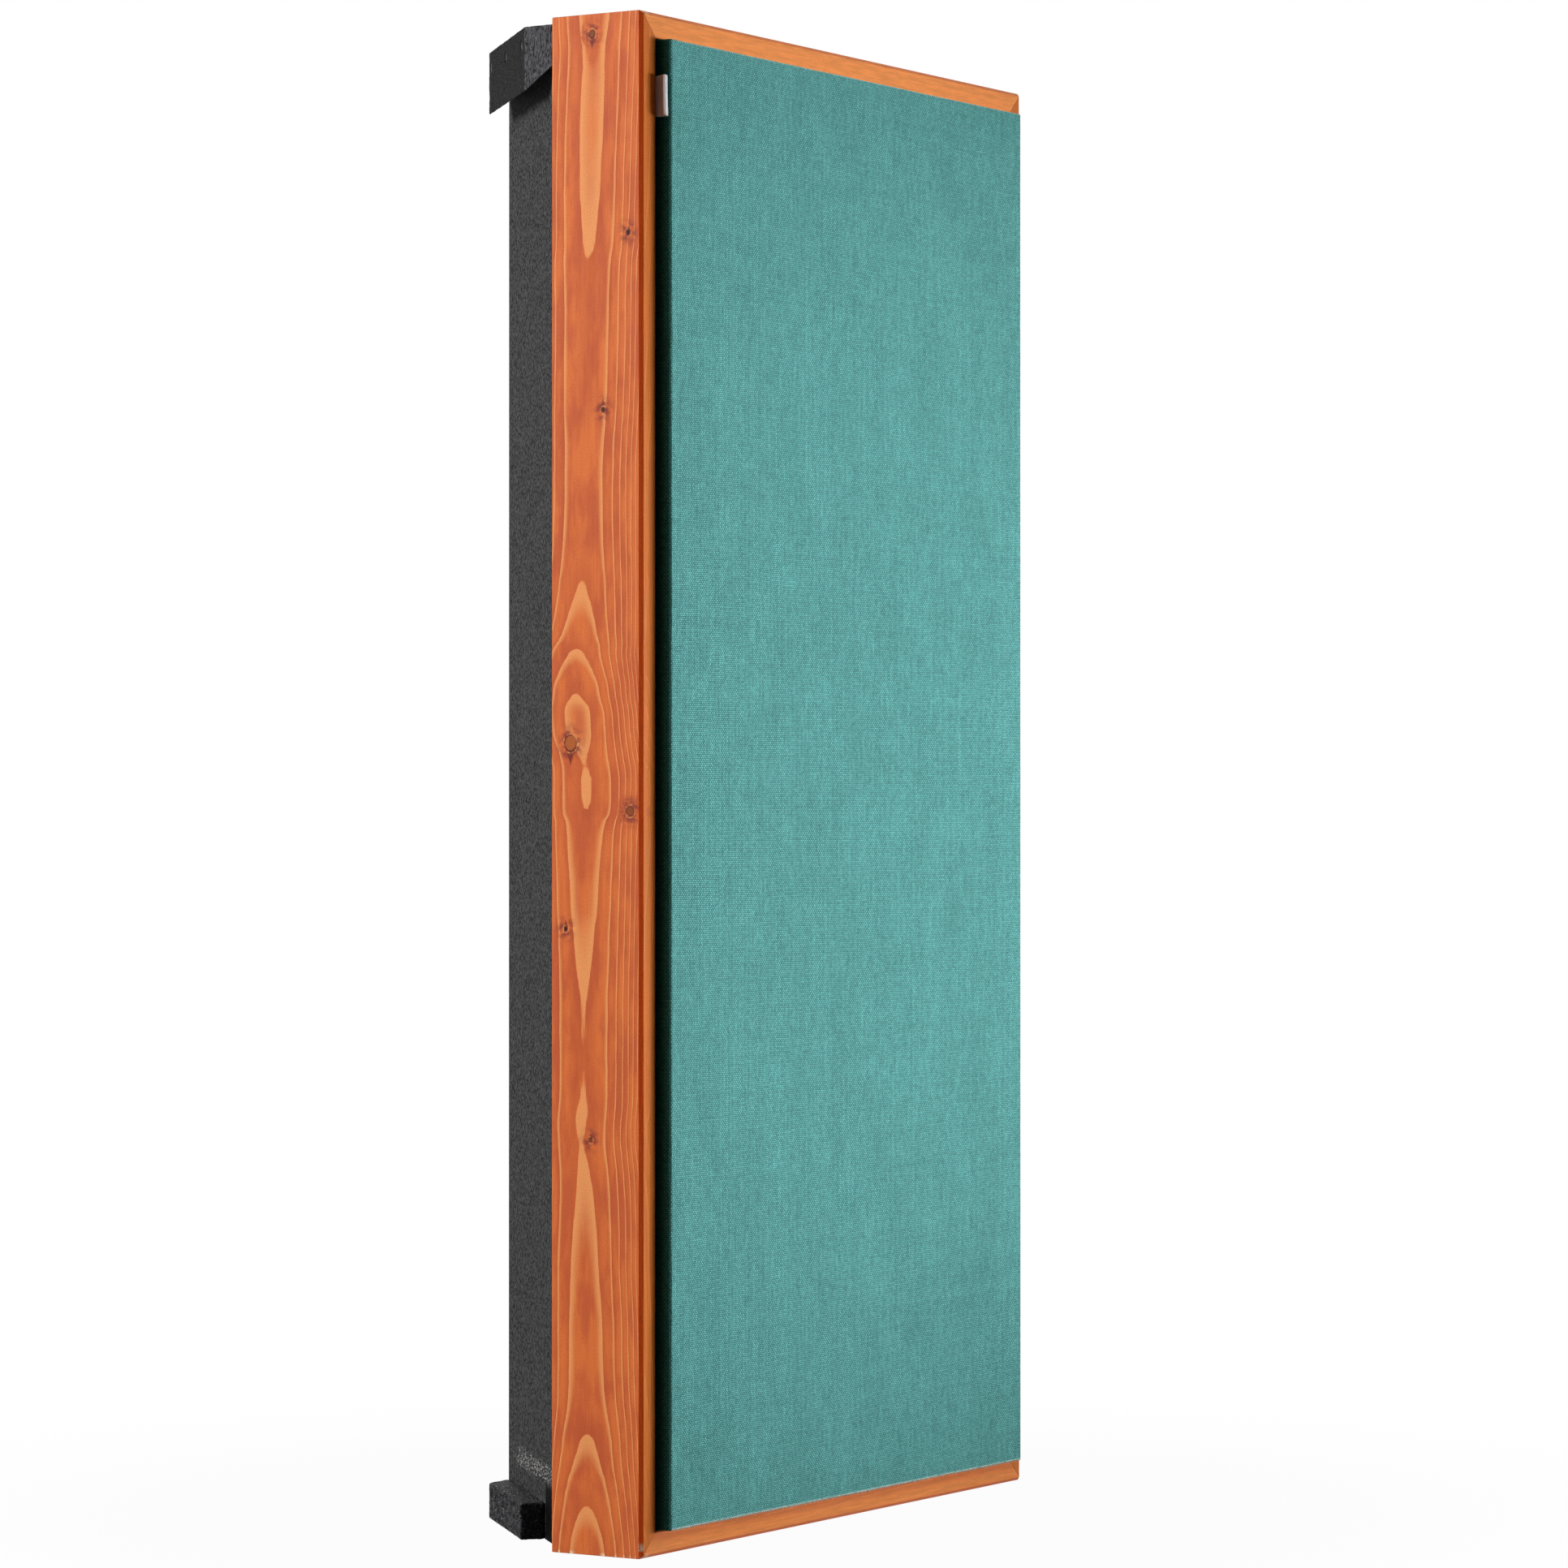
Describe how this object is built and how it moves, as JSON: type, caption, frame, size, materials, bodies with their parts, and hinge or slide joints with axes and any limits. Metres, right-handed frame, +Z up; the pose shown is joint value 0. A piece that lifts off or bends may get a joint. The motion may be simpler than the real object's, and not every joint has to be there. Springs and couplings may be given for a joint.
{
  "type": "corner bass trap",
  "caption": "Corner bass trap: stained pine frame with a proud teal fabric pad, a black slant-sided box behind, hook cleats and wall spacers.",
  "frame": {"origin": "on the floor, under the middle of the whole part's box", "axes": "+Z up, the pad faces -Y, the room's corner is towards +Y, +X is to the right of someone facing the pad"},
  "size_m": [0.6, 0.236, 1.2],
  "materials": {
    "stained_pine": "orange-brown wood stain, satin, with pale grain figure and small knots",
    "pressed_beech": "pressed, unfinished",
    "raw_softwood": "planed, unfinished",
    "teal_cloth": "twill weave, matt",
    "mineral_wool": "raw fibre slab",
    "black_board": "black textured paint over fibreboard, scuffed near the foot",
    "black_batten": "black paint over rough-sawn batten, scuffed",
    "black_steel": "black-coated screws",
    "white_tape": "woven satin tape, blank"
  },
  "bodies": {
    "root": {"frame_stile_left": "stained_pine", "frame_stile_right": "stained_pine", "frame_rail_top": "stained_pine", "frame_rail_bottom": "stained_pine", "biscuit_bottom_left": "pressed_beech", "biscuit_bottom_right": "pressed_beech", "biscuit_top_left": "pressed_beech", "biscuit_top_right": "pressed_beech", "strip_left": "raw_softwood", "strip_right": "raw_softwood", "strip_top": "raw_softwood", "strip_bottom": "raw_softwood", "pad_batten_left": "raw_softwood", "pad_batten_right": "raw_softwood", "pad_batten_top": "raw_softwood", "pad_batten_bottom": "raw_softwood", "pad_cover": "teal_cloth", "pad_slab": "mineral_wool", "absorber_front": "mineral_wool", "absorber_middle": "mineral_wool", "absorber_rear": "mineral_wool", "box_side_left": "black_board", "box_side_right": "black_board", "box_back": "black_board", "box_top": "black_board", "box_bottom": "black_board", "hook_cleat_left": "black_batten", "hook_cleat_right": "black_batten", "wall_spacer_left": "black_batten", "wall_spacer_right": "black_batten", "side_tag": "white_tape", "cleat_screw_1_left": "black_steel", "cleat_screw_1_right": "black_steel", "cleat_screw_2_left": "black_steel", "cleat_screw_2_right": "black_steel", "cleat_screw_3_left": "black_steel", "cleat_screw_3_right": "black_steel", "spacer_screw_1_left": "black_steel", "spacer_screw_1_right": "black_steel", "spacer_screw_2_left": "black_steel", "spacer_screw_2_right": "black_steel", "strip_screw_1_left": "black_steel", "strip_screw_1_right": "black_steel", "strip_screw_2_left": "black_steel", "strip_screw_2_right": "black_steel", "strip_screw_3_left": "black_steel", "strip_screw_3_right": "black_steel", "strip_screw_4_left": "black_steel", "strip_screw_4_right": "black_steel", "strip_screw_bottom_left": "black_steel", "strip_screw_bottom_right": "black_steel", "strip_screw_top_left": "black_steel", "strip_screw_top_right": "black_steel"}
  },
  "joints": []
}
